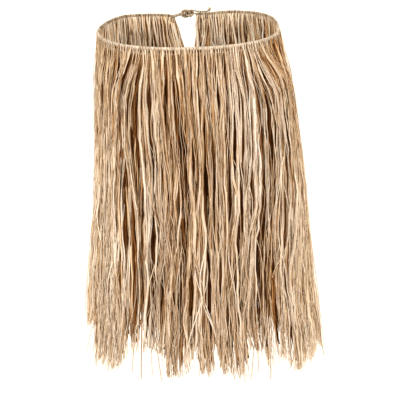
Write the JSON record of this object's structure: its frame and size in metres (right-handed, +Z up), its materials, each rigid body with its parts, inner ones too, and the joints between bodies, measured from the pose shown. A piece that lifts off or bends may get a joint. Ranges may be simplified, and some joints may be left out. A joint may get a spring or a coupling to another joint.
{
  "type": "grass skirt",
  "caption": "Raffia grass skirt filled out as worn: locks of dried grass looped over a waist cord that is tied in a knot at the open back.",
  "frame": {"origin": "middle of the waist opening, at the height of the waist cord's centre line", "axes": "+Z up out of the waist, front of the skirt towards -Y, knot and slit towards +Y, wearer's left towards +X"},
  "size_m": [0.4581, 0.2795, 0.6528],
  "materials": {
    "raffia": "dry, dull plant fibre with a slight sheen along its length",
    "raffia_inner": "dry, dull plant fibre, matted",
    "raffia_cord": "two-ply twisted plant fibre"
  },
  "bodies": {
    "root": {"waist_cord": "raffia_cord", "tie_knot": "raffia_cord", "tie_tail": "raffia_cord", "outer_fringe": "raffia", "inner_layer": "raffia_inner"}
  },
  "joints": []
}
